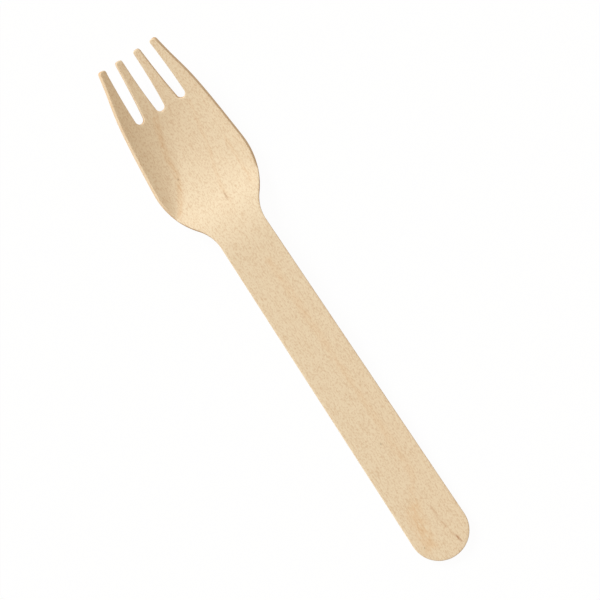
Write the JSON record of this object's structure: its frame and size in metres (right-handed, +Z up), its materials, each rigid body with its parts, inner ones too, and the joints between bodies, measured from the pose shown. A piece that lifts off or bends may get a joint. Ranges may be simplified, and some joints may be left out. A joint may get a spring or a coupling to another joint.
{
  "type": "disposable wooden fork",
  "caption": "Disposable fork pressed from birch veneer, with a flat round-ended handle, a waisted neck and a shallow dish that ends in slender tines.",
  "frame": {"origin": "on the table under the middle of the fork's box, with the fork lying as it rests on its dish and the end of its handle", "axes": "+X across the fork, +Y along it from the handle to the tines, +Z up"},
  "size_m": [0.0288, 0.16, 0.0075],
  "materials": {
    "birch": "bare sanded veneer, matte"
  },
  "bodies": {
    "root": {"fork": "birch"}
  },
  "joints": []
}
